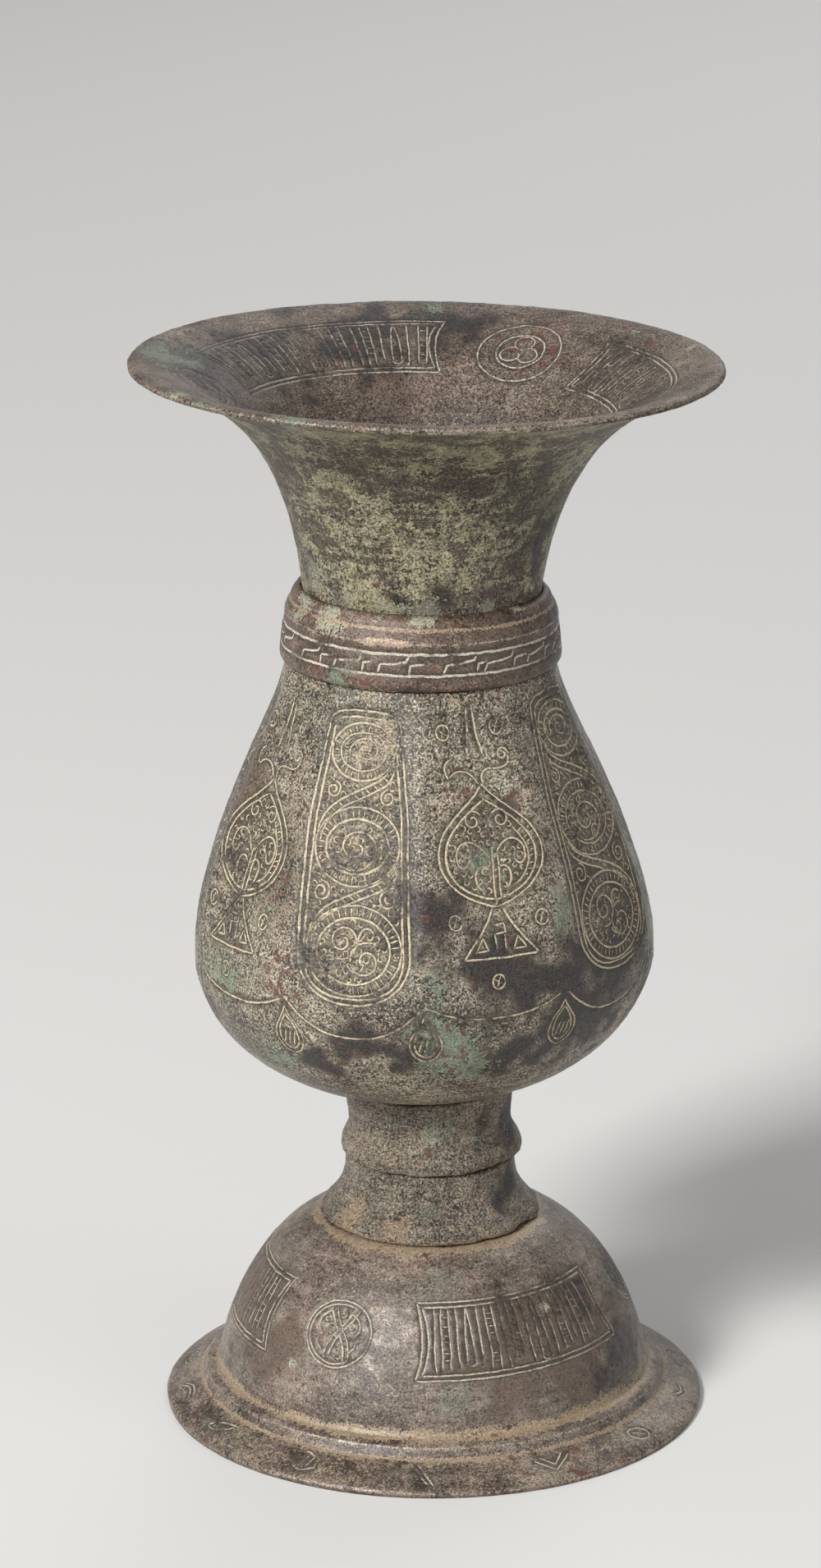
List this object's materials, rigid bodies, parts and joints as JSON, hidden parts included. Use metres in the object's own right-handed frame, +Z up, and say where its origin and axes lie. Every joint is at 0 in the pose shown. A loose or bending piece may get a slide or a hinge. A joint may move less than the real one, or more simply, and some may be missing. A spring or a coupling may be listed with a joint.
{
  "type": "bronze vase",
  "caption": "Cast bronze vase with a hollow domed foot, knopped stem, soft-sided pear body, banded collar and flared trumpet mouth; holds flowers.",
  "frame": {"origin": "middle of the foot's resting face, on the table", "axes": "+Z up along the vase's axis; one soft corner of the body faces -Y"},
  "size_m": [0.1508, 0.1508, 0.2803],
  "materials": {
    "bronze": "grey-brown granular patina, engraved lines filled with a pale paste",
    "worn_bronze": "brown patina rubbed bright on the edges",
    "green_bronze": "brown patina under a dusty olive-green crust",
    "solder": "dull grey soft solder"
  },
  "bodies": {
    "root": {"domed_foot": "bronze", "stem_base": "bronze", "stem_knop": "bronze", "faceted_body": "bronze", "neck_collar": "worn_bronze", "flared_neck": "green_bronze", "neck_solder": "solder", "stem_solder": "solder", "foot_solder": "solder"}
  },
  "joints": []
}
